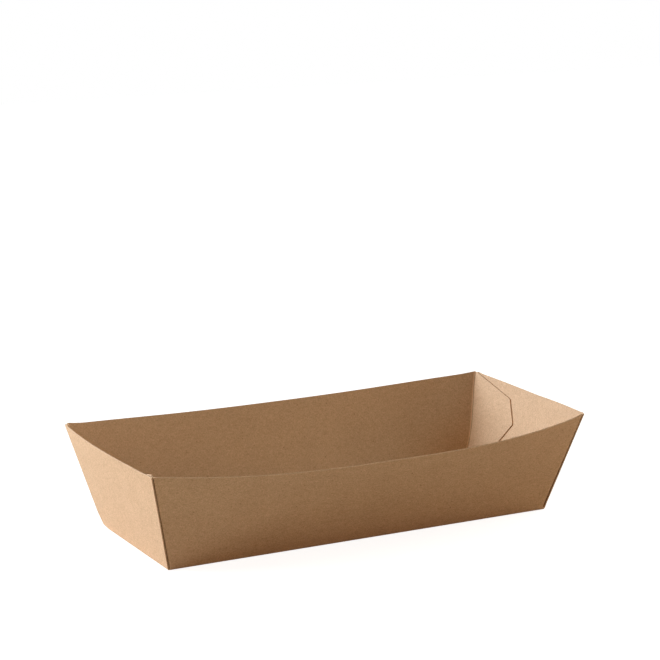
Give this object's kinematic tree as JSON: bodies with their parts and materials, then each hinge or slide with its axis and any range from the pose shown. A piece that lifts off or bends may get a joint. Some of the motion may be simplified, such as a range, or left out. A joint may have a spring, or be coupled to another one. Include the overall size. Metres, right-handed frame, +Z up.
{
  "type": "paper food tray",
  "caption": "Oblong open food tray folded from one sheet of brown kraft board, with flared bowed walls and glue flaps inside the end walls.",
  "frame": {"origin": "middle of the base's underside, on the surface the tray stands on", "axes": "+X along the tray, +Y across it, +Z up out of its open top"},
  "size_m": [0.1916, 0.0998, 0.0406],
  "materials": {
    "kraft_board": "uncoated matt brown kraft"
  },
  "bodies": {
    "root": {"folded_tray": "kraft_board"}
  },
  "joints": []
}
